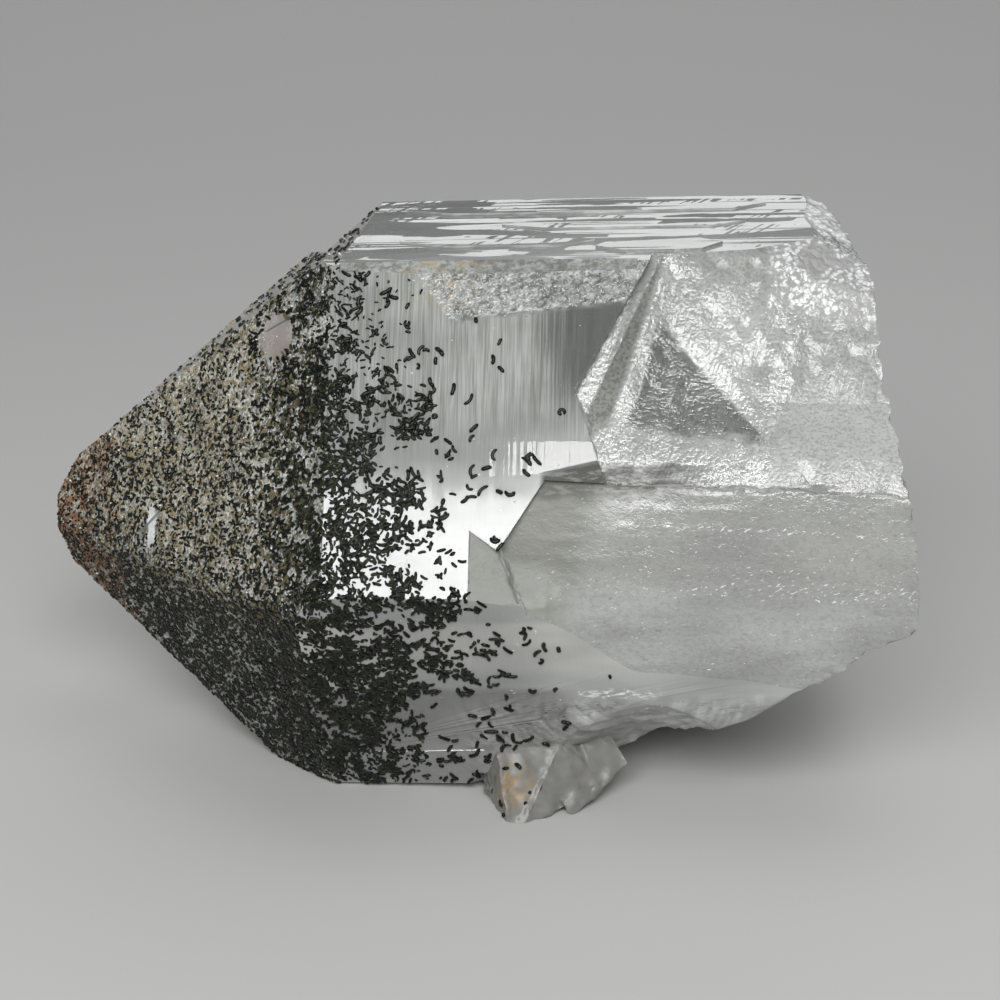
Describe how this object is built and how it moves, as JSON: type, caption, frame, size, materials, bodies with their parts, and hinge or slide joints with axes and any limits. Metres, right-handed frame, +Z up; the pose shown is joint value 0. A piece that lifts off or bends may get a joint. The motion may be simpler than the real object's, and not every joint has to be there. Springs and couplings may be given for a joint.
{
  "type": "himalayan quartz crystal",
  "caption": "Short thick quartz point with a six-sided prism, a six-faced tip dusted with chlorite, a rough contact face and a broken milky root; it lies on one side.",
  "frame": {"origin": "centre of the footprint, on the surface that the crystal lies on", "axes": "+X along the crystal from its point to its broken root, +Y to the back, +Z up"},
  "size_m": [0.0716, 0.05, 0.0446],
  "materials": {
    "quartz": "clear to milky, glassy on the crystal faces, frosted on the contact face",
    "chlorite": "dark green earthy grains with a dull sheen"
  },
  "bodies": {
    "root": {"quartz_crystal": "quartz"}
  },
  "joints": []
}
